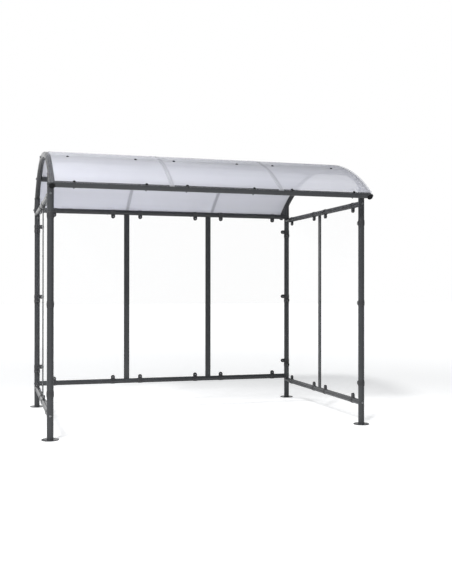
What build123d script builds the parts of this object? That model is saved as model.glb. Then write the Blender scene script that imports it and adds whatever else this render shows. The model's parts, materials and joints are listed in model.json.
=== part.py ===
from build123d import *
import os
from math import asin, cos, degrees, radians, sin, sqrt

os.makedirs("parts", exist_ok=True)

# Frame: X runs along the shelter, Y to its back and Z up. The origin is on the ground,
# in the middle of the four posts. All sizes are in millimetres.

# Plan
post_spacing_x = 3030.0
post_spacing_y = 2100.0

# Posts and their feet
post_diameter = 60.0
post_wall = 2.5
foot_diameter = 155.0
foot_thickness = 8.0
foot_edge_bevel = 1.5
anchor_circle = 115.0
anchor_hole = 13.0
anchor_count = 4
anchor_turn = 45.0

# Wall rails
rail_diameter = 55.0
rail_wall = 2.0
side_rail_height = 216.0
wall_stagger = 48.0
top_rail_drop = 186.0

# Roof frame
arch_diameter = 55.0
arch_wall = 2.5
arch_radius = 1967.0
arch_height_at_posts = 2378.0
purlin_diameter = 55.0
purlin_wall = 2.0
eave_reach = 174.0
purlin_offset = 708.0
cope_run_out = 2.0
cap_flange = 4.0
cap_edge_bevel = 1.2
cap_plug_length = 22.0

# Roof skin. The joints of its sheets don't line up with those of the rear wall.
sheet_thickness = 5.0
sheet_lip = 13.0
sheet_side_overhang = 25.0
roof_joint_spacing = 1050.0
roof_joint_shift = 72.5
joiner_width = 44.0
joiner_flange = 1.6
joiner_web = 2.0

# Wall panels and the strips that cover their joints
panel_thickness = 5.0
panel_margin = 12.0
panel_joint = 6.0
rear_joint_spacing = 990.0
rear_joint_shift = 6.0
strip_width = 63.0
strip_thickness = 3.0
strip_edge_bevel = 0.6

# Panel clamps
clamp_width = 45.0
clamp_reach = 45.0
clamp_thickness = 22.0
clamp_slot_margin = 3.0
saddle_thickness = 4.0
clamp_from_strip = 160.0
clamp_from_post = 190.0
clamp_from_rail = 190.0

# Clearances
seat = 0.3
slot_play = 0.25
saddle_gap = 0.6

# Places worked out from the sizes above
post_x = post_spacing_x / 2
post_y = post_spacing_y / 2
post_radius = post_diameter / 2
rail_radius = rail_diameter / 2
arch_tube_radius = arch_diameter / 2
purlin_radius = purlin_diameter / 2
arch_centre_height = arch_height_at_posts - sqrt(arch_radius**2 - post_y**2)
eave_y = post_y + eave_reach
eave_angle = degrees(asin(eave_y / arch_radius))
foot_angle = eave_angle + degrees(purlin_radius / arch_radius)
rail_rise = arch_height_at_posts - top_rail_drop - side_rail_height
rear_rail_height = side_rail_height + wall_stagger
rear_joints = (rear_joint_shift - rear_joint_spacing / 2, rear_joint_shift + rear_joint_spacing / 2)
roof_joints = (roof_joint_shift - roof_joint_spacing / 2, roof_joint_shift + roof_joint_spacing / 2)
saddle_length = wall_stagger - saddle_gap
arch_axis = Axis((0, 0, arch_centre_height), (-1, 0, 0))


def height_on_arch(y, radius=arch_radius):
    """Height of the arch of this radius over the place y."""
    return arch_centre_height + sqrt(radius**2 - y**2)


def plane_on_arch(x, radius, angle):
    """Plane square to the arch, at this angle from its top towards the back."""
    turn = radians(angle)
    return Plane(
        origin=(x, radius * sin(turn), arch_centre_height + radius * cos(turn)),
        x_dir=(1, 0, 0),
        z_dir=(0, cos(turn), -sin(turn)),
    )


def save(part, name):
    part.label = name
    export_step(part, f"parts/{name}.step")


# Posts, coped under the arches
cope_radius = max(post_radius, arch_tube_radius) + seat
cope_circle = arch_radius + cope_radius - arch_tube_radius - seat


def make_post(x, y):
    """Round tube from its foot up to the underside of the arch."""
    with BuildPart() as post:
        with BuildSketch(Plane.XY.offset(foot_thickness)):
            with Locations((x, y)):
                Circle(post_radius)
                Circle(post_radius - post_wall, mode=Mode.SUBTRACT)
        extrude(amount=arch_height_at_posts - foot_thickness)
        with BuildSketch(plane_on_arch(x, cope_circle, -foot_angle)):
            Circle(cope_radius)
        revolve(axis=arch_axis, revolution_arc=2 * foot_angle, mode=Mode.SUBTRACT)
    return post.part.solids().sort_by(Axis.Z)[0]


def make_foot(x, y):
    """Round base plate with its anchor holes."""
    with BuildPart() as foot:
        with BuildSketch():
            with Locations((x, y)):
                Circle(foot_diameter / 2)
                with PolarLocations(anchor_circle / 2, anchor_count, start_angle=anchor_turn):
                    Circle(anchor_hole / 2, mode=Mode.SUBTRACT)
        extrude(amount=foot_thickness)
        rim = foot.edges().filter_by(GeomType.CIRCLE).sort_by(SortBy.RADIUS)[-2:]
        chamfer(rim.sort_by(Axis.Z)[-1], foot_edge_bevel)
    return foot.part


for row, y in (("front", -post_y), ("rear", post_y)):
    for side, x in (("left", -post_x), ("right", post_x)):
        save(make_post(x, y), f"post_{row}_{side}")
        save(make_foot(x, y), f"base_plate_{row}_{side}")


# Roof arches, one over each pair of posts
def make_arch(x):
    with BuildPart() as arch:
        with BuildSketch(plane_on_arch(x, arch_radius, -foot_angle)):
            Circle(arch_tube_radius)
            Circle(arch_tube_radius - arch_wall, mode=Mode.SUBTRACT)
        revolve(axis=arch_axis, revolution_arc=2 * foot_angle)
    return arch.part


for side, x in (("left", -post_x), ("right", post_x)):
    save(make_arch(x), f"arch_{side}")

# Plastic plugs that close the open ends of the arches
with BuildPart() as arch_end_caps:
    for x in (-post_x, post_x):
        for way in (-1, 1):
            end = plane_on_arch(x, arch_radius, way * foot_angle)
            with BuildSketch(end):
                Circle(arch_tube_radius)
            extrude(amount=way * cap_flange)
            with BuildSketch(end):
                Circle(arch_tube_radius - arch_wall - seat)
            extrude(amount=-way * cap_plug_length)
    rims = arch_end_caps.edges().filter_by(GeomType.CIRCLE).group_by(SortBy.RADIUS)[-1]
    outer_rims = rims.filter_by(
        lambda edge: abs(edge.arc_center.Y) > arch_radius * sin(radians(foot_angle)) + cap_flange / 2
    )
    chamfer(outer_rims, cap_edge_bevel)
save(arch_end_caps.part, "arch_end_caps")


# Tubes that run along the roof, coped between the arches
def make_purlin(y):
    with BuildPart() as purlin:
        with BuildSketch(Plane.YZ.offset(-post_x)):
            with Locations((y, height_on_arch(y))):
                Circle(purlin_radius)
                Circle(purlin_radius - purlin_wall, mode=Mode.SUBTRACT)
        extrude(amount=post_spacing_x)
        for x in (-post_x, post_x):
            with BuildSketch(plane_on_arch(x, arch_radius, -foot_angle - cope_run_out)):
                Circle(arch_tube_radius + seat)
            cope_arc = 2 * (foot_angle + cope_run_out)
            revolve(axis=arch_axis, revolution_arc=cope_arc, mode=Mode.SUBTRACT)
    return purlin.part.solids().sort_by(SortBy.VOLUME)[-1]


purlin_places = {
    "eave_front": -eave_y,
    "purlin_front": -purlin_offset,
    "purlin_ridge": 0.0,
    "purlin_rear": purlin_offset,
    "eave_rear": eave_y,
}
for name, y in purlin_places.items():
    save(make_purlin(y), name)

# Roof sheets, bent over the tubes and joined edge to edge
sheet_inner_radius = arch_radius + max(arch_tube_radius, purlin_radius) + seat
sheet_angle = eave_angle + degrees(sheet_lip / sheet_inner_radius)
roof_end_x = post_x + sheet_side_overhang
half_gap = joiner_web / 2 + seat


def make_sheet(low_x, high_x):
    with BuildPart() as sheet:
        with BuildSketch(plane_on_arch(0, sheet_inner_radius, -sheet_angle)):
            with Locations(((low_x + high_x) / 2, -sheet_thickness / 2)):
                Rectangle(high_x - low_x, sheet_thickness)
        revolve(axis=arch_axis, revolution_arc=2 * sheet_angle)
    return sheet.part


def make_joiner(x):
    """H section that grips the edges of two sheets."""
    with BuildPart() as joiner:
        with BuildSketch(plane_on_arch(x, sheet_inner_radius, -sheet_angle)):
            with Locations((0, -sheet_thickness / 2)):
                Rectangle(joiner_width, sheet_thickness + 2 * slot_play + 2 * joiner_flange)
            for way in (-1, 1):
                with Locations((way * (joiner_width + joiner_web) / 4, -sheet_thickness / 2)):
                    Rectangle(
                        (joiner_width - joiner_web) / 2,
                        sheet_thickness + 2 * slot_play,
                        mode=Mode.SUBTRACT,
                    )
        revolve(axis=arch_axis, revolution_arc=2 * sheet_angle)
        for y in purlin_places.values():
            with BuildSketch(Plane.YZ.offset(x - joiner_width)):
                with Locations((y, height_on_arch(y))):
                    Circle(purlin_radius + seat / 2)
            extrude(amount=2 * joiner_width, mode=Mode.SUBTRACT)
    return joiner.part


save(make_sheet(-roof_end_x, roof_joints[0] - half_gap), "roof_sheet_left")
save(make_sheet(roof_joints[0] + half_gap, roof_joints[1] - half_gap), "roof_sheet_middle")
save(make_sheet(roof_joints[1] + half_gap, roof_end_x), "roof_sheet_right")
for side, x in zip(("left", "right"), roof_joints):
    save(make_joiner(x), f"roof_joiner_{side}")


# Wall rails, coped between the posts
def make_rear_rail(z):
    with BuildPart() as rail:
        with BuildSketch(Plane.YZ.offset(-post_x)):
            with Locations((post_y, z)):
                Circle(rail_radius)
                Circle(rail_radius - rail_wall, mode=Mode.SUBTRACT)
        extrude(amount=post_spacing_x)
        with BuildSketch(Plane.XY.offset(z - rail_diameter)):
            with Locations((-post_x, post_y), (post_x, post_y)):
                Circle(post_radius + seat)
        extrude(amount=2 * rail_diameter, mode=Mode.SUBTRACT)
    return rail.part


def make_side_rail(x, z):
    with BuildPart() as rail:
        with BuildSketch(Plane.XZ.offset(-post_y)):
            with Locations((x, z)):
                Circle(rail_radius)
                Circle(rail_radius - rail_wall, mode=Mode.SUBTRACT)
        extrude(amount=post_spacing_y)
        with BuildSketch(Plane.XY.offset(z - rail_diameter)):
            with Locations((x, -post_y), (x, post_y)):
                Circle(post_radius + seat)
        extrude(amount=2 * rail_diameter, mode=Mode.SUBTRACT)
    return rail.part


for level, rise in (("bottom", 0.0), ("top", rail_rise)):
    save(make_rear_rail(rear_rail_height + rise), f"rail_rear_{level}")
    for side, x in (("left", -post_x), ("right", post_x)):
        save(make_side_rail(x, side_rail_height + rise), f"rail_{side}_{level}")


# Clear wall panels, upright between the rails
panel_height = rail_rise - rail_diameter - 2 * panel_margin
panel_depth = post_y - post_radius - panel_margin - panel_joint / 2


def make_panel(centre, size_x, size_y):
    with BuildPart() as panel:
        with Locations(centre):
            Box(size_x, size_y, panel_height)
    return panel.part


rear_panel_z = rear_rail_height + rail_rise / 2
side_panel_z = side_rail_height + rail_rise / 2
rear_end_x = post_x - post_radius - panel_margin
rear_panels = {
    "left": (-rear_end_x, rear_joints[0] - panel_joint / 2),
    "middle": (rear_joints[0] + panel_joint / 2, rear_joints[1] - panel_joint / 2),
    "right": (rear_joints[1] + panel_joint / 2, rear_end_x),
}
for side, (low, high) in rear_panels.items():
    centre = ((low + high) / 2, post_y, rear_panel_z)
    save(make_panel(centre, high - low, panel_thickness), f"panel_rear_{side}")
for side, x in (("left", -post_x), ("right", post_x)):
    for row, way in (("front", -1), ("rear", 1)):
        centre = (x, way * (panel_joint + panel_depth) / 2, side_panel_z)
        save(make_panel(centre, panel_thickness, panel_depth), f"panel_{side}_{row}")

# Strips screwed together over each joint of two panels, one on each face
strip_height = rail_rise - rail_diameter


def make_strips(x, y, z, along_x):
    """Pair of flat bars with rounded long edges, one on each face of the wall."""
    with BuildPart() as strips:
        for way in (-1, 1):
            stand_off = way * (panel_thickness + strip_thickness) / 2
            place = (x, y + stand_off) if along_x else (x + stand_off, y)
            size = (strip_width, strip_thickness) if along_x else (strip_thickness, strip_width)
            with BuildSketch(Plane.XY.offset(z - strip_height / 2)):
                with Locations(place):
                    Rectangle(*size)
            extrude(amount=strip_height)
        chamfer(strips.edges().filter_by(Axis.Z), strip_edge_bevel)
    return strips.part


for side, x in zip(("left", "right"), rear_joints):
    save(make_strips(x, post_y, rear_panel_z, True), f"cover_strip_rear_{side}")
for side, x in (("left", -post_x), ("right", post_x)):
    save(make_strips(x, 0, side_panel_z, False), f"cover_strip_{side}")


# Panel clamps: a saddle round the tube and a rounded jaw that grips the panel's edge
def make_clamp(tube_radius):
    """Clamp on a tube along Z, with its jaw along X and the panel in the XZ plane."""
    jaw_end = tube_radius + clamp_reach
    with BuildPart() as clamp:
        with BuildSketch(Plane.XZ):
            with Locations(((jaw_end - clamp_width / 2) / 2, 0)):
                Rectangle(jaw_end - clamp_width / 2, clamp_width)
            with Locations((jaw_end - clamp_width / 2, 0)):
                Circle(clamp_width / 2)
        extrude(amount=clamp_thickness / 2, both=True)
        with BuildSketch():
            with Locations((tube_radius, 0)):
                Rectangle(2 * tube_radius, 4 * tube_radius)
            Circle(tube_radius + saddle_thickness, mode=Mode.INTERSECT)
        extrude(amount=saddle_length / 2, both=True)
        Cylinder(tube_radius + seat, 2 * saddle_length, mode=Mode.SUBTRACT)
        slot_start = tube_radius + panel_margin - clamp_slot_margin
        with Locations((slot_start, 0, 0)):
            Box(
                clamp_reach,
                panel_thickness + 2 * slot_play,
                2 * clamp_width,
                align=(Align.MIN, Align.CENTER, Align.CENTER),
                mode=Mode.SUBTRACT,
            )
    return clamp.part


rail_clamp = make_clamp(rail_radius)
post_clamp = make_clamp(post_radius)


def rail_clamp_places(low, high, strips):
    """Places along a rail: one near each post and one on each side of each strip."""
    places = [low + clamp_from_post, high - clamp_from_post]
    for strip in strips:
        places += [strip - clamp_from_strip, strip + clamp_from_strip]
    return sorted(places)


def heights_on_post(low_rail_height):
    return (
        low_rail_height + clamp_from_rail,
        low_rail_height + rail_rise / 2,
        low_rail_height + rail_rise - clamp_from_rail,
    )


def seat_of_clamp(place, reach, along):
    return Plane(origin=place, x_dir=reach, z_dir=along).location


rear_on_rails = []
for x in rail_clamp_places(-post_x, post_x, rear_joints):
    low_place = (x, post_y, rear_rail_height)
    high_place = (x, post_y, rear_rail_height + rail_rise)
    rear_on_rails.append(seat_of_clamp(low_place, (0, 0, 1), (1, 0, 0)))
    rear_on_rails.append(seat_of_clamp(high_place, (0, 0, -1), (1, 0, 0)))
rear_on_posts = []
for z in heights_on_post(rear_rail_height):
    for way in (-1, 1):
        rear_on_posts.append(seat_of_clamp((way * post_x, post_y, z), (-way, 0, 0), (0, 0, 1)))

with BuildPart() as rear_wall_clamps:
    with Locations(*rear_on_rails):
        add(rail_clamp)
    with Locations(*rear_on_posts):
        add(post_clamp)
save(rear_wall_clamps.part, "rear_wall_clamps")

for side, x in (("left", -post_x), ("right", post_x)):
    side_on_rails = []
    for y in rail_clamp_places(-post_y, post_y, (0.0,)):
        low_place = (x, y, side_rail_height)
        high_place = (x, y, side_rail_height + rail_rise)
        side_on_rails.append(seat_of_clamp(low_place, (0, 0, 1), (0, 1, 0)))
        side_on_rails.append(seat_of_clamp(high_place, (0, 0, -1), (0, 1, 0)))
    side_on_posts = []
    for z in heights_on_post(side_rail_height):
        for way in (-1, 1):
            side_on_posts.append(seat_of_clamp((x, way * post_y, z), (0, -way, 0), (0, 0, 1)))
    with BuildPart() as side_wall_clamps:
        with Locations(*side_on_rails):
            add(rail_clamp)
        with Locations(*side_on_posts):
            add(post_clamp)
    save(side_wall_clamps.part, f"{side}_wall_clamps")
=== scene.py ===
import json
import math

import bpy
from mathutils import Matrix, Vector


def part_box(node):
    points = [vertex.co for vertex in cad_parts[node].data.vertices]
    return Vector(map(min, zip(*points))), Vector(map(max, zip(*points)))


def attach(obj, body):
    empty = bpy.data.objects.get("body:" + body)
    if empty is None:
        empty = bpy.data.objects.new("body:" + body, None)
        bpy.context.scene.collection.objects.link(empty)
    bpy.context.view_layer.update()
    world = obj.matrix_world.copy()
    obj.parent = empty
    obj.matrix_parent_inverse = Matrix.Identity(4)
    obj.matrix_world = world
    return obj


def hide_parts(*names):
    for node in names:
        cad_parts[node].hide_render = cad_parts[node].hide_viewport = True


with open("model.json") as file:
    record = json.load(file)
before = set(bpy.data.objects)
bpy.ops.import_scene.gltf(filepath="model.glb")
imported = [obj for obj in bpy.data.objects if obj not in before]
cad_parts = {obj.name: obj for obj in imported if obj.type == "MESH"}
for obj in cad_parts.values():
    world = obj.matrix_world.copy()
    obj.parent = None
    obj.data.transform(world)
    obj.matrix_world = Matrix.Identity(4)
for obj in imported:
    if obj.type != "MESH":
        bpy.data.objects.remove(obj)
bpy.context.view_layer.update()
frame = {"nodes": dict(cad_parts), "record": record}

nodes = frame["nodes"]


# Sizes read from the frame, in metres
def middle(node):
    low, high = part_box(node)
    return (low + high) / 2


def half_size(node):
    low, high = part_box(node)
    return (high - low) / 2


POST_RADIUS = half_size("post_front_left").x
POST_X = -middle("post_front_left").x
POST_Y = -middle("post_front_left").y
RAIL_RADIUS = half_size("rail_rear_bottom").z
TUBE_RADIUS = half_size("arch_left").x
ARCH_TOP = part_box("arch_left")[1].z
FOOT_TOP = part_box("base_plate_front_left")[1].z
REAR_RAIL_Z = (middle("rail_rear_bottom").z, middle("rail_rear_top").z)
SIDE_RAIL_Z = (middle("rail_left_bottom").z, middle("rail_left_top").z)
REAR_JOINTS = (middle("cover_strip_rear_left").x, middle("cover_strip_rear_right").x)
JOINER_X = (middle("roof_joiner_left").x, middle("roof_joiner_right").x)
JOINER_HALF = half_size("roof_joiner_left").x
ROOF_TUBES = ("eave_front", "purlin_front", "purlin_ridge", "purlin_rear", "eave_rear")

# Sizes of the part that its boxes don't give
ARCH_RADIUS = 1.967
SHEET_THICKNESS = 0.005
PANEL_THICKNESS = 0.005
STRIP_THICKNESS = 0.003
SEAT = 0.0003

# Worked out from both. Angles on the roof count from the ridge, about the centre of the arches.
ARCH_CENTRE_Z = ARCH_TOP - TUBE_RADIUS - ARCH_RADIUS
SHEET_RADIUS = ARCH_RADIUS + TUBE_RADIUS + SEAT + SHEET_THICKNESS
EAVE_ANGLE = math.asin(-middle("eave_front").y / ARCH_RADIUS)

# What comes in pairs lies to the left or front (-1) and to the right or rear (1)
WAYS = (-1, 1)


# Shapes are lists of points and faces
def lathe(profile, sides=24):
    """Solid of revolution about Z. The profile runs from the axis back to the axis."""
    points = []
    faces = []
    rings = []
    for radius, height in profile:
        if radius == 0:
            rings.append([len(points)])
            points.append((0, 0, height))
            continue
        ring = []
        for i in range(sides):
            turn = 2 * math.pi * i / sides
            ring.append(len(points))
            points.append((radius * math.cos(turn), radius * math.sin(turn), height))
        rings.append(ring)
    for low, high in zip(rings, rings[1:]):
        for i in range(sides):
            j = (i + 1) % sides
            if len(low) == 1:
                faces.append((low[0], high[j], high[i]))
            elif len(high) == 1:
                faces.append((low[i], low[j], high[0]))
            else:
                faces.append((low[i], low[j], high[j], high[i]))
    return points, faces


def lathe_ring(profile, sides=40):
    """Ring about Z, from a closed profile that runs up its outside and down its inside."""
    points = []
    faces = []
    count = len(profile)
    for i in range(sides):
        turn = 2 * math.pi * i / sides
        points += [(r * math.cos(turn), r * math.sin(turn), z) for r, z in profile]
    for i in range(sides):
        j = (i + 1) % sides
        for k in range(count):
            m = (k + 1) % count
            faces.append((i * count + k, j * count + k, j * count + m, i * count + m))
    return points, faces


def stack(outlines):
    """Closed solid through flat outlines of equal length, from the lowest to the highest."""
    points = [point for outline in outlines for point in outline]
    count = len(outlines[0])
    faces = [tuple(reversed(range(count)))]
    for level in range(len(outlines) - 1):
        for i in range(count):
            j = (i + 1) % count
            low = level * count
            high = low + count
            faces.append((low + i, low + j, high + j, high + i))
    faces.append(tuple(range((len(outlines) - 1) * count, len(outlines) * count)))
    return points, faces


def dome(radius, height, base=0.0, rim=0.0, steps=6, sides=24):
    """Domed head that stands on the height base, with a straight rim below the dome."""
    profile = [(0, base), (radius, base), (radius, base + rim)]
    for i in range(1, steps):
        turn = math.pi / 2 * i / steps
        profile.append((radius * math.cos(turn), base + rim + (height - rim) * math.sin(turn)))
    profile.append((0, base + height))
    return lathe(profile, sides)


def hex_nut(across_flats, height, base=0.0):
    """Six-sided nut with chamfered corners."""
    corner = across_flats / math.sqrt(3)
    chamfer = corner * 0.08
    drop = chamfer * 0.6
    profile = [
        (0, base),
        (corner - chamfer, base),
        (corner, base + drop),
        (corner, base + height - drop),
        (corner - chamfer, base + height),
        (0, base + height),
    ]
    return lathe(profile, sides=6)


def disc(radius, thickness, base=0.0, sides=24):
    """Washer or bolt end, with a small bevel on its upper edge."""
    bevel = thickness * 0.25
    top = base + thickness
    profile = [(0, base), (radius, base), (radius, top - bevel), (radius - bevel, top), (0, top)]
    return lathe(profile, sides)


def socket_head(radius, height, base=0.0, sides=24):
    """Pan head with a round socket sunk in its top."""
    top = base + height
    socket = radius * 0.42
    socket_floor = top - height * 0.55
    profile = [
        (0, base),
        (radius, base),
        (radius, base + height * 0.45),
        (radius * 0.86, base + height * 0.85),
        (radius * 0.62, top),
        (socket, top),
        (socket * 0.96, socket_floor),
        (0, socket_floor),
    ]
    return lathe(profile, sides)


def ring_tube(path, radius, sides=8):
    """Closed tube that follows a closed path of points."""
    points = []
    faces = []
    count = len(path)
    centre = sum(path, Vector()) / count
    for i, here in enumerate(path):
        ahead = (path[(i + 1) % count] - path[i - 1]).normalized()
        across = ahead.cross(here - centre).normalized()
        outward = across.cross(ahead)
        for k in range(sides):
            turn = 2 * math.pi * k / sides
            points.append(here + (outward * math.cos(turn) + across * math.sin(turn)) * radius)
    for i in range(count):
        j = (i + 1) % count
        for k in range(sides):
            m = (k + 1) % sides
            faces.append((i * sides + k, i * sides + m, j * sides + m, j * sides + k))
    return points, faces


def pointing(origin, direction):
    """Matrix that stands a shape on an origin, with its Z along a direction."""
    turn = Vector(direction).to_track_quat("Z", "Y").to_matrix().to_4x4()
    return Matrix.Translation(origin) @ turn


def seated(origin, reach, along):
    """Matrix that puts a shape's X along its reach and its Z along a tube."""
    x_axis = Vector(reach)
    z_axis = Vector(along)
    turn = Matrix((x_axis, z_axis.cross(x_axis), z_axis)).transposed().to_4x4()
    return Matrix.Translation(origin) @ turn


class Kit:
    """Gathers many small shapes, which become one mesh."""

    def __init__(self):
        self.points = []
        self.faces = []

    def add(self, shape, place):
        points, faces = shape
        start = len(self.points)
        self.points += [place @ Vector(p) for p in points]
        self.faces += [tuple(start + i for i in face) for face in faces]

    def build(self, name, material, smooth_angle=35.0, replaces=()):
        mesh = bpy.data.meshes.new(name)
        mesh.from_pydata([tuple(p) for p in self.points], [], self.faces)
        mesh.polygons.foreach_set("use_smooth", [True] * len(mesh.polygons))
        mesh.set_sharp_from_angle(angle=math.radians(smooth_angle))
        mesh.materials.append(material)
        piece = bpy.data.objects.new(name, mesh)
        bpy.context.scene.collection.objects.link(piece)
        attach(piece, "root")
        if replaces:
            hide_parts(*replaces)


# Materials
class Net:
    """Short names for making the nodes of a tree. An input is a number or another's output."""

    def __init__(self, tree):
        self.tree = tree

    def new(self, kind, inputs=(), **values):
        node = self.tree.nodes.new(kind)
        for key, value in values.items():
            setattr(node, key, value)
        for key, value in inputs:
            if isinstance(value, bpy.types.NodeSocket):
                self.tree.links.new(value, node.inputs[key])
            else:
                node.inputs[key].default_value = value
        return node

    def place(self, kind="Object"):
        return self.new("ShaderNodeTexCoord").outputs[kind]

    def split(self, vector):
        return self.new("ShaderNodeSeparateXYZ", [("Vector", vector)]).outputs

    def noise(self, scale, detail=2.0, stretch=(1, 1, 1)):
        mapping = self.new("ShaderNodeMapping", [("Vector", self.place()), ("Scale", stretch)])
        inputs = [("Vector", mapping.outputs["Vector"]), ("Scale", scale), ("Detail", detail)]
        return self.new("ShaderNodeTexNoise", inputs).outputs["Fac"]

    def span(self, value, low, high, from_low=0.3, from_high=0.7):
        """Spreads a factor over a range of numbers."""
        inputs = [("Value", value), ("From Min", from_low), ("From Max", from_high)]
        inputs += [("To Min", low), ("To Max", high)]
        return self.new("ShaderNodeMapRange", inputs).outputs["Result"]

    def calc(self, operation, first, second=0.0):
        node = self.new("ShaderNodeMath", [(0, first), (1, second)], operation=operation)
        return node.outputs[0]

    def mix(self, value, low, high):
        inputs = [("Factor", value), ("A", (*low, 1)), ("B", (*high, 1))]
        return self.new("ShaderNodeMix", inputs, data_type="RGBA").outputs["Result"]


class Finish(Net):
    """A Principled material and what feeds it."""

    def __init__(self, name, **values):
        self.material = bpy.data.materials.new(name)
        self.material.use_nodes = True
        super().__init__(self.material.node_tree)
        self.surface = self.tree.nodes["Principled BSDF"]
        for key, value in values.items():
            self.surface.inputs[key.replace("_", " ")].default_value = value

    def feed(self, name, value):
        self.tree.links.new(value, self.surface.inputs[name])

    def bump(self, height, distance, strength):
        inputs = [("Height", height), ("Distance", distance), ("Strength", strength)]
        self.feed("Normal", self.new("ShaderNodeBump", inputs).outputs["Normal"])


def powder_coat():
    """Anthracite powder coat: satin, with a fine orange peel and faint clouds in its tone."""
    dark = (0.046, 0.048, 0.051)
    light = (0.058, 0.060, 0.064)
    coat = Finish("powder_coat", IOR=1.44)
    coat.feed("Base Color", coat.mix(coat.noise(2.5, detail=3.0), dark, light))
    coat.feed("Roughness", coat.span(coat.noise(35.0), 0.17, 0.25))
    coat.bump(coat.noise(900.0, detail=1.0), distance=0.0002, strength=0.15)
    return coat.material


def zinc():
    """Zinc-plated steel of bolts and screws, dulled in blotches."""
    dull = (0.30, 0.31, 0.32)
    bright = (0.48, 0.49, 0.50)
    plate = Finish("zinc_plate", Metallic=1.0)
    plate.feed("Base Color", plate.mix(plate.noise(300.0), dull, bright))
    plate.feed("Roughness", plate.span(plate.noise(500.0), 0.28, 0.45))
    return plate.material


def moulded(name, tone, gloss=0.5):
    """Moulded plastic with a fine spark-eroded grain."""
    dark = (tone, tone, tone * 1.05)
    light = (tone * 1.5, tone * 1.5, tone * 1.6)
    plastic = Finish(name, IOR=1.45, Specular_IOR_Level=gloss)
    plastic.feed("Base Color", plastic.mix(plastic.noise(60.0), dark, light))
    plastic.feed("Roughness", plastic.span(plastic.noise(200.0), 0.36, 0.48))
    plastic.bump(plastic.noise(1500.0, detail=1.0), distance=0.0001, strength=0.4)
    return plastic.material


def opal(name):
    """Opal plastic, which scatters light right through."""
    plastic = Finish(name, IOR=1.4, Subsurface_Weight=1.0, Subsurface_Scale=0.0125)
    plastic.surface.inputs["Subsurface Radius"].default_value = (1.0, 1.0, 1.0)
    return plastic


def solidity(plastic, level):
    """Sets the share of light that doesn't pass straight. Inner faces let all of it pass."""
    inside = plastic.new("ShaderNodeNewGeometry").outputs["Backfacing"]
    outside = plastic.calc("SUBTRACT", 1.0, inside)
    plastic.feed("Alpha", plastic.calc("MULTIPLY", outside, level))


# How solid the roof sheets look: milky, and clear over the left arch and past the eave tubes
MILKY_SOLIDITY = 0.86
CLEAR_SOLIDITY = 0.12
RIGHT_ARCH_SHARE = 0.82
LEFT_ARCH = {"from_low": -POST_X + TUBE_RADIUS * 0.7, "from_high": -POST_X + TUBE_RADIUS * 0.9}
RIGHT_ARCH = {"from_low": POST_X - TUBE_RADIUS, "from_high": POST_X - TUBE_RADIUS * 0.6}
LIP_START = EAVE_ANGLE - 0.003 / SHEET_RADIUS
LIP = {"from_low": LIP_START, "from_high": LIP_START + 0.0005}


def roof_plastic():
    """Milky sheet with faint drawing marks, clear at its lips and its left end."""
    dark = (0.574, 0.58, 0.638)
    light = (0.634, 0.64, 0.698)
    sheet = opal("roof_plastic")
    marks = sheet.noise(2.0, detail=3.0, stretch=(0.25, 6.0, 6.0))
    sheet.feed("Base Color", sheet.mix(marks, dark, light))
    sheet.feed("Roughness", sheet.span(marks, 0.18, 0.26))
    place = sheet.split(sheet.place())
    height = sheet.calc("SUBTRACT", place["Z"], ARCH_CENTRE_Z)
    angle = sheet.calc("ARCTAN2", sheet.calc("ABSOLUTE", place["Y"]), height)
    inner = sheet.span(angle, 1.0, 0.0, **LIP)
    left = sheet.span(place["X"], 0.0, 1.0, **LEFT_ARCH)
    right = sheet.span(place["X"], 1.0, RIGHT_ARCH_SHARE, **RIGHT_ARCH)
    share = sheet.calc("MULTIPLY", inner, sheet.calc("MULTIPLY", left, right))
    solidity(sheet, sheet.span(share, CLEAR_SOLIDITY, MILKY_SOLIDITY, from_low=0.0, from_high=1.0))
    return sheet.material


def joiner_plastic():
    """Clear profile between the roof sheets, denser along its two edges."""
    at_middle = (0.65, 0.66, 0.72)
    at_edge = (0.57, 0.57, 0.65)
    rise = {"from_low": JOINER_HALF - 0.009, "from_high": JOINER_HALF - 0.005}
    joiner = opal("joiner_plastic")
    x = joiner.split(joiner.place())["X"]
    off_left, off_right = [joiner.calc("ABSOLUTE", joiner.calc("SUBTRACT", x, c)) for c in JOINER_X]
    off_middle = joiner.calc("MINIMUM", off_left, off_right)
    edge = joiner.span(off_middle, 0.0, 1.0, **rise)
    marks = joiner.noise(60.0, stretch=(6.0, 0.2, 0.2))
    joiner.feed("Base Color", joiner.mix(edge, at_middle, at_edge))
    joiner.feed("Roughness", joiner.span(marks, 0.10, 0.20))
    solidity(joiner, joiner.span(edge, 0.50, 0.80, from_low=0.0, from_high=1.0))
    return joiner.material


def panel_plastic(name, across):
    """Clear wall panel. Its cut edges, square to the axis given, gather a blue light."""
    at_edge = (0.46, 0.56, 0.66)
    at_face = (0.86, 0.92, 0.96)
    clear = Finish(name, IOR=1.49)
    normal = clear.new("ShaderNodeNewGeometry").outputs["True Normal"]
    face = clear.calc("ABSOLUTE", clear.split(normal)[across])
    clear.feed("Base Color", clear.mix(face, at_edge, at_face))
    clear.feed("Roughness", clear.span(clear.noise(4.0), 0.02, 0.06))
    solidity(clear, clear.span(face, 0.60, 0.04, from_low=0.2, from_high=0.8))
    return clear.material


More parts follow.
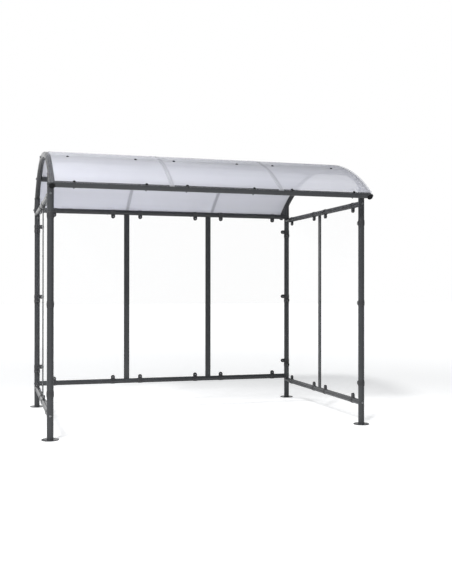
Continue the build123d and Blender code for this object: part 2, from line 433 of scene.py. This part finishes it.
POWDER = powder_coat()
ZINC = zinc()
BLACK = moulded("black_plastic", 0.008, gloss=0.15)
CLAMP = moulded("clamp_plastic", 0.036)
REAR_PANEL = panel_plastic("clear_rear", "Y")
SIDE_PANEL = panel_plastic("clear_side", "X")
FINISHES = {
    "frame_steel": POWDER,
    "foot_steel": POWDER,
    "strip_steel": POWDER,
    "roof_sheet": roof_plastic(),
    "roof_joiner": joiner_plastic(),
    "wall_panel": SIDE_PANEL,
    "clamp_plastic": CLAMP,
    "cap_plastic": BLACK,
}
for part in frame["record"]["subparts"]:
    node = part["node"]
    finish = FINISHES[part["material_slot"]]
    if node.startswith("panel_rear"):
        finish = REAR_PANEL
    nodes[node].material_slots[0].material = finish

# Fixings of the roof sheets: capped bolts on top, nuts under the tubes
CAP_X = (-1.336, -0.695, -0.320, 0.320, 0.695, 1.336)
# On two tubes the photo shows them a little to one side
CAP_DRIFT = {"eave_front": 0.011, "purlin_ridge": -0.0135}
CAP_RADIUS = 0.0110
CAP_HEIGHT = 0.0075
CAP_RIM = 0.0025
CAP_WASHER_RADIUS = 0.0140
CAP_WASHER_HEIGHT = 0.0018
NUT_FLATS = 0.0130
NUT_HEIGHT = 0.0065
NUT_WASHER_RADIUS = 0.0095
NUT_WASHER_BASE = -0.0004
NUT_BASE = 0.0012
BOLT_END_RADIUS = 0.0040
BOLT_END_LENGTH = 0.0040
roof_caps = Kit()
roof_nuts = Kit()


def add_roof_cap(place):
    roof_caps.add(disc(CAP_WASHER_RADIUS, CAP_WASHER_HEIGHT), place)
    roof_caps.add(dome(CAP_RADIUS, CAP_HEIGHT, base=CAP_WASHER_HEIGHT, rim=CAP_RIM), place)


def add_roof_nut(place):
    washer = disc(NUT_WASHER_RADIUS, NUT_BASE - NUT_WASHER_BASE, base=NUT_WASHER_BASE)
    roof_nuts.add(washer, place)
    roof_nuts.add(hex_nut(NUT_FLATS, NUT_HEIGHT, base=NUT_BASE), place)
    bolt_end = disc(BOLT_END_RADIUS, BOLT_END_LENGTH, base=NUT_BASE + NUT_HEIGHT, sides=12)
    roof_nuts.add(bolt_end, place)


for tube in ROOF_TUBES:
    axis = middle(tube)
    outward = Vector((0, axis.y, axis.z - ARCH_CENTRE_Z)).normalized()
    for x in CAP_X:
        on_axis = Vector((x + CAP_DRIFT.get(tube, 0.0), axis.y, axis.z))
        add_roof_cap(pointing(on_axis + outward * (SHEET_RADIUS - ARCH_RADIUS), outward))
        add_roof_nut(pointing(on_axis - outward * TUBE_RADIUS, -outward))
roof_caps.build("roof_cap_bolts", BLACK)
roof_nuts.build("roof_bolt_nuts", POWDER)

# Domed bolts that hold the roof tubes, through the outer faces of the arches
ARCH_BOLT = {"radius": 0.0100, "height": 0.0070}
FRONT_EAVE_BOLT = {"radius": 0.0140, "height": 0.0150}
ARCH_WASHER_BASE = -0.0022
ARCH_BOLT_BASE = 0.0010
arch_bolts = Kit()
for tube in ROOF_TUBES:
    axis = middle(tube)
    bolt = FRONT_EAVE_BOLT if tube == "eave_front" else ARCH_BOLT
    washer = disc(bolt["radius"] * 1.2, ARCH_BOLT_BASE - ARCH_WASHER_BASE, base=ARCH_WASHER_BASE)
    head = dome(**bolt, base=ARCH_BOLT_BASE, rim=bolt["height"] * 0.3)
    for way in WAYS:
        place = pointing((way * (POST_X + TUBE_RADIUS), axis.y, axis.z), (way, 0, 0))
        arch_bolts.add(washer, place)
        arch_bolts.add(head, place)
arch_bolts.build("arch_bolts", POWDER)

# Bolts that hold the wall rails, through the outer faces of the posts
POST_BOLT_RADIUS = 0.0080
POST_BOLT_HEIGHT = 0.0048
POST_WASHER_RADIUS = 0.0100
POST_WASHER_BASE = -0.0018
POST_BOLT_BASE = 0.0008
post_bolts = Kit()


def add_post_bolt(x, y, z, direction):
    place = pointing(Vector((x, y, z)) + Vector(direction) * POST_RADIUS, direction)
    washer = disc(POST_WASHER_RADIUS, POST_BOLT_BASE - POST_WASHER_BASE, base=POST_WASHER_BASE)
    post_bolts.add(washer, place)
    post_bolts.add(socket_head(POST_BOLT_RADIUS, POST_BOLT_HEIGHT, base=POST_BOLT_BASE), place)


for way_x in WAYS:
    for z in SIDE_RAIL_Z:
        for way_y in WAYS:
            add_post_bolt(way_x * POST_X, way_y * POST_Y, z, (0, way_y, 0))
    for z in REAR_RAIL_Z:
        add_post_bolt(way_x * POST_X, POST_Y, z, (way_x, 0, 0))
post_bolts.build("post_bolts", ZINC)

# Screws along the cover strips, five on each face
X_AXIS = 0
Y_AXIS = 1
STRIPS = (("rear_left", Y_AXIS), ("rear_right", Y_AXIS), ("left", X_AXIS), ("right", X_AXIS))
STRIP_PITCH = 0.472
STRIP_STEPS = (-2, -1, 0, 1, 2)
STRIP_FACE = PANEL_THICKNESS / 2 + STRIP_THICKNESS
strip_screw = socket_head(radius=0.0062, height=0.0030, base=-0.0002, sides=20)
strip_screws = Kit()
for strip, across in STRIPS:
    centre = middle(f"cover_strip_{strip}")
    for way in WAYS:
        normal = Vector((0, 0, 0))
        normal[across] = way
        for step in STRIP_STEPS:
            spot = centre + Vector((0, 0, step * STRIP_PITCH)) + normal * STRIP_FACE
            strip_screws.add(strip_screw, pointing(spot, normal))
strip_screws.build("strip_screws", POWDER)

# Panel clamps: a barrel-shaped ring round the tube, with two lips that grip the panel
CLAMP_WIDTH = 0.045
CLAMP_REACH = 0.045
CLAMP_HALF = 0.011
SLOT_HALF = 0.00275
SLOT_START = 0.009
ROOT_SINK = 0.002
LIP_ROUNDING = 0.003
SLOT_BEVEL = 0.0006
RING_EDGE = 0.0008
RING_CROWN = 0.0024
RING_STEPS = 8
LIP_STEPS = 16
LONG_RING = 0.060
SHORT_RING = 0.0474
CLAMP_FROM_STRIP = 0.160
CLAMP_FROM_END = 0.190


def ring_shape(tube_radius, length):
    inner = tube_radius + SEAT
    profile = []
    for i in range(RING_STEPS + 1):
        along = -1 + 2 * i / RING_STEPS
        wall = RING_EDGE + RING_CROWN * (1 - along**2)
        profile.append((inner + wall, along * length / 2))
    profile += [(inner, length / 2), (inner, -length / 2)]
    return lathe_ring(profile)


def lip_outline(start, end, inset, height):
    """Outline of a lip: straight from the tube, then half round."""
    half = CLAMP_WIDTH / 2 - inset
    centre = end - CLAMP_WIDTH / 2
    points = [Vector((start, height, half)), Vector((start, height, -half))]
    for i in range(LIP_STEPS + 1):
        turn = -math.pi / 2 + math.pi * i / LIP_STEPS
        points.append(Vector((centre + half * math.cos(turn), height, half * math.sin(turn))))
    return points


def lip_shape(tube_radius, rounding_steps=3):
    """One lip with its outer edge rounded over."""
    start = tube_radius - ROOT_SINK
    end = tube_radius + CLAMP_REACH
    outlines = [
        lip_outline(start, end, SLOT_BEVEL, SLOT_HALF),
        lip_outline(start, end, 0.0, SLOT_HALF + SLOT_BEVEL),
    ]
    for i in range(rounding_steps + 1):
        turn = math.pi / 2 * i / rounding_steps
        inset = LIP_ROUNDING * (1 - math.cos(turn))
        height = CLAMP_HALF - LIP_ROUNDING * (1 - math.sin(turn))
        outlines.append(lip_outline(start, end, inset, height))
    return stack(outlines)


def web_shape(tube_radius):
    """The solid root between the two lips."""
    start = tube_radius - ROOT_SINK
    end = tube_radius + SLOT_START
    half = CLAMP_WIDTH / 2 - SLOT_BEVEL
    corners = ((start, half), (start, -half), (end, -half), (end, half))
    outlines = []
    for height in (-SLOT_HALF, SLOT_HALF):
        outlines.append([Vector((x, height, z)) for x, z in corners])
    return stack(outlines)


NO_TURN = Matrix.Identity(4)
HALF_TURN = Matrix.Rotation(math.pi, 4, "X")
BESIDE = Matrix.Rotation(-math.pi / 2, 4, "X")
clamp_washer = disc(radius=0.0070, thickness=0.0012, base=-0.0002)
clamp_screw = socket_head(radius=0.0052, height=0.0034, base=0.0009, sides=20)
clamp_screws = Kit()


def add_clamp(kit, place, tube_radius, ring_length):
    """One clamp, with a screw head on each lip."""
    kit.add(ring_shape(tube_radius, ring_length), place)
    kit.add(lip_shape(tube_radius), place)
    kit.add(lip_shape(tube_radius), place @ HALF_TURN)
    kit.add(web_shape(tube_radius), place)
    screw = place @ Matrix.Translation((tube_radius + CLAMP_REACH - CLAMP_WIDTH / 2, 0, 0))
    for turn in (NO_TURN, HALF_TURN):
        face = screw @ turn @ BESIDE @ Matrix.Translation((0, 0, CLAMP_HALF))
        clamp_screws.add(clamp_washer, face)
        clamp_screws.add(clamp_screw, face)


def places_on_rail(low, high, joints):
    """One clamp near each post, and one on each side of each joint of the panels."""
    places = [low + CLAMP_FROM_END, high - CLAMP_FROM_END]
    for joint in joints:
        places += [joint - CLAMP_FROM_STRIP, joint + CLAMP_FROM_STRIP]
    return sorted(places)


def heights_on_post(rails):
    """One clamp near each rail, and one half-way between them."""
    low, high = rails
    return (low + CLAMP_FROM_END, (low + high) / 2, high - CLAMP_FROM_END)


rear_clamps = Kit()
for z, up in zip(REAR_RAIL_Z, (1, -1)):
    for x in places_on_rail(-POST_X, POST_X, REAR_JOINTS):
        place = seated((x, POST_Y, z), (0, 0, up), (1, 0, 0))
        add_clamp(rear_clamps, place, RAIL_RADIUS, LONG_RING)
for z in heights_on_post(REAR_RAIL_Z):
    for way in WAYS:
        place = seated((way * POST_X, POST_Y, z), (-way, 0, 0), (0, 0, 1))
        add_clamp(rear_clamps, place, POST_RADIUS, SHORT_RING)
rear_clamps.build("clamps_rear", CLAMP, replaces=("rear_wall_clamps",))

for side, way_x in (("left", -1), ("right", 1)):
    side_clamps = Kit()
    for z, up in zip(SIDE_RAIL_Z, (1, -1)):
        for y in places_on_rail(-POST_Y, POST_Y, (0.0,)):
            place = seated((way_x * POST_X, y, z), (0, 0, up), (0, 1, 0))
            add_clamp(side_clamps, place, RAIL_RADIUS, LONG_RING)
    for z in heights_on_post(SIDE_RAIL_Z):
        for way_y, length in ((-1, LONG_RING), (1, SHORT_RING)):
            place = seated((way_x * POST_X, way_y * POST_Y, z), (0, -way_y, 0), (0, 0, 1))
            add_clamp(side_clamps, place, POST_RADIUS, length)
    side_clamps.build(f"clamps_{side}", CLAMP, replaces=(f"{side}_wall_clamps",))
clamp_screws.build("clamp_screws", ZINC)

# Weld beads round the feet and the tops of the posts
FOOT_BEAD = 0.003
FOOT_BEAD_LIFT = 0.0009
TOP_BEAD = 0.0024
BEAD_STEPS = 48
COPE_SHARE = 0.97
welds = Kit()


def cope_height(dx, y):
    """Height at which a post meets the underside of its arch."""
    cope = max(POST_RADIUS, TUBE_RADIUS)
    circle = ARCH_RADIUS + cope - TUBE_RADIUS
    reach = circle - math.sqrt(max(cope**2 - dx**2, 0))
    return ARCH_CENTRE_Z + math.sqrt(reach**2 - y**2)


for way_x in WAYS:
    for way_y in WAYS:
        foot_path = []
        top_path = []
        for i in range(BEAD_STEPS):
            turn = 2 * math.pi * i / BEAD_STEPS
            dx = POST_RADIUS * math.cos(turn)
            x = way_x * POST_X + dx
            y = way_y * POST_Y + POST_RADIUS * math.sin(turn)
            foot_path.append(Vector((x, y, FOOT_TOP + FOOT_BEAD_LIFT)))
            top_path.append(Vector((x, y, cope_height(dx * COPE_SHARE, y))))
        welds.add(ring_tube(foot_path, FOOT_BEAD), NO_TURN)
        welds.add(ring_tube(top_path, TOP_BEAD), NO_TURN)
welds.build("weld_beads", POWDER, smooth_angle=60.0)

# Floor, which glows a little more with its distance from the part
FLOOR_SIZE = 120.0
FLOOR_TONE = 0.80
FLOOR_GLOW = {"low": 0.43, "high": 0.62, "from_low": 4.0, "from_high": 12.0}

# World: tubes mirror a white room behind the part, and a dim one elsewhere
BRIGHT_SIDE = (-0.05, 1.0, 0.0)
BRIGHTNESS = {"low": 0.25, "high": 1.0, "from_low": 0.82, "from_high": 0.99}
FILL_COLOUR = (0.94, 0.97, 1.0, 1)
FILL_STRENGTH = 0.31


def background_rays(net, others):
    """Is 1 for the rays that see the white background: the camera's and the others named."""
    rays = net.new("ShaderNodeLightPath").outputs
    total = rays["Is Camera Ray"]
    for name in others:
        total = net.calc("MAXIMUM", total, rays[name])
    return total


def floor_material():
    material = bpy.data.materials.new("floor")
    material.use_nodes = True
    material.node_tree.nodes.clear()
    net = Net(material.node_tree)
    distance = net.new("ShaderNodeVectorMath", [(0, net.place())], operation="LENGTH")
    level = net.span(distance.outputs["Value"], **FLOOR_GLOW)
    strength = net.calc("MULTIPLY", background_rays(net, ["Is Transmission Ray"]), level)
    tone = (FLOOR_TONE, FLOOR_TONE, FLOOR_TONE, 1)
    diffuse = net.new("ShaderNodeBsdfDiffuse", [("Color", tone)])
    glow = net.new("ShaderNodeEmission", [("Strength", strength)])
    both = net.new("ShaderNodeAddShader", [(0, diffuse.outputs[0]), (1, glow.outputs[0])])
    net.new("ShaderNodeOutputMaterial", [("Surface", both.outputs[0])])
    return material


def make_floor():
    """Pale floor that keeps the shadow and fades into the white background."""
    mesh = bpy.data.meshes.new("floor")
    half = FLOOR_SIZE / 2
    corners = [(-half, -half, 0), (half, -half, 0), (half, half, 0), (-half, half, 0)]
    mesh.from_pydata(corners, [], [(0, 1, 2, 3)])
    mesh.materials.append(floor_material())
    floor = bpy.data.objects.new("floor", mesh)
    bpy.context.scene.collection.objects.link(floor)


def make_world():
    """White all round for what sees the background, and a softer fill for the rest."""
    world = bpy.data.worlds.new("studio")
    bpy.context.scene.world = world
    world.use_nodes = True
    world.node_tree.nodes.clear()
    net = Net(world.node_tree)
    inputs = [(0, net.place("Generated")), (1, BRIGHT_SIDE)]
    facing = net.new("ShaderNodeVectorMath", inputs, operation="DOT_PRODUCT")
    level = net.span(facing.outputs["Value"], **BRIGHTNESS)
    white = net.calc("MAXIMUM", level, background_rays(net, []))
    seen = net.new("ShaderNodeBackground", [("Color", (1, 1, 1, 1)), ("Strength", white)])
    fill = net.new("ShaderNodeBackground", [("Color", FILL_COLOUR), ("Strength", FILL_STRENGTH)])
    rays = background_rays(net, ["Is Glossy Ray", "Is Transmission Ray"])
    inputs = [("Fac", rays), (1, fill.outputs[0]), (2, seen.outputs[0])]
    both = net.new("ShaderNodeMixShader", inputs)
    net.new("ShaderNodeOutputWorld", [("Surface", both.outputs[0])])


def make_lamp(name, kind, origin, target, power, **values):
    """Lamp that the camera doesn't see. Tubes mirror only the sun."""
    lamp = bpy.data.lights.new(name, kind)
    lamp.energy = power
    for key, value in values.items():
        setattr(lamp, key, value)
    lamp_object = bpy.data.objects.new(name, lamp)
    bpy.context.scene.collection.objects.link(lamp_object)
    lamp_object.location = origin
    lamp_object.visible_camera = False
    lamp_object.visible_glossy = kind == "SUN"
    aim = Vector(target) - Vector(origin)
    lamp_object.rotation_euler = aim.to_track_quat("-Z", "Y").to_euler()


def make_lamps():
    """A sun and a large lamp from the front left, a small lamp from the front, one from behind."""
    make_lamp("sun", "SUN", (-6.6, -8.4, 10.4), (0, 0, 1.2), 1.30, angle=math.radians(7))
    wide = {"shape": "RECTANGLE", "size": 2.0, "size_y": 3.0}
    make_lamp("side", "AREA", (-3.7, -3.2, 5.1), (-0.2, 0, 1.9), 165, **wide)
    small = {"shape": "SQUARE", "size": 0.25}
    make_lamp("front", "AREA", (-1.8, -6.3, 1.9), (-0.5, 1.1, 2.4), 60, **small)
    flat = {"shape": "RECTANGLE", "size": 3.0, "size_y": 0.8, "spread": 1.2}
    make_lamp("rear", "AREA", (-2.4, 5.6, 3.6), (-0.4, 1.1, 2.4), 90, **flat)


make_floor()
make_world()
make_lamps()

# Camera at the photo's place. Pixels count in the photo's frame of 452 by 584.
CAMERA_PLACE = (-2.0246, -8.3360, 1.3461)
CAMERA_YAW = 0.2846
CAMERA_PITCH = 0.0038
CAMERA_ROLL = 0.0007
FOCAL_PIXELS = 802.56
PRINCIPAL_POINT = (225.40, 285.62)
PHOTO_SIZE = (452, 584)
SENSOR = 36.0
CLIP_NEAR = 0.1
CLIP_FAR = 300.0


def make_camera():
    camera = bpy.data.cameras.new("camera")
    camera_object = bpy.data.objects.new("camera", camera)
    bpy.context.scene.collection.objects.link(camera_object)
    bpy.context.scene.camera = camera_object
    camera.sensor_width = SENSOR
    camera.lens = FOCAL_PIXELS * SENSOR / PHOTO_SIZE[1]
    camera.shift_x = (PHOTO_SIZE[0] / 2 - PRINCIPAL_POINT[0]) / PHOTO_SIZE[1]
    camera.shift_y = (PRINCIPAL_POINT[1] - PHOTO_SIZE[1] / 2) / PHOTO_SIZE[1]
    camera.clip_start = CLIP_NEAR
    camera.clip_end = CLIP_FAR
    level = math.cos(CAMERA_PITCH)
    rise = math.sin(CAMERA_PITCH)
    ahead = Vector((math.sin(CAMERA_YAW) * level, math.cos(CAMERA_YAW) * level, rise))
    right = Vector((math.cos(CAMERA_YAW), -math.sin(CAMERA_YAW), 0))
    up = right.cross(ahead)
    rolled_right = right * math.cos(CAMERA_ROLL) + up * math.sin(CAMERA_ROLL)
    rolled_up = up * math.cos(CAMERA_ROLL) - right * math.sin(CAMERA_ROLL)
    turn = Matrix((rolled_right, rolled_up, -ahead)).transposed().to_4x4()
    camera_object.matrix_world = Matrix.Translation(CAMERA_PLACE) @ turn


make_camera()
bpy.context.scene.view_settings.view_transform = "Standard"
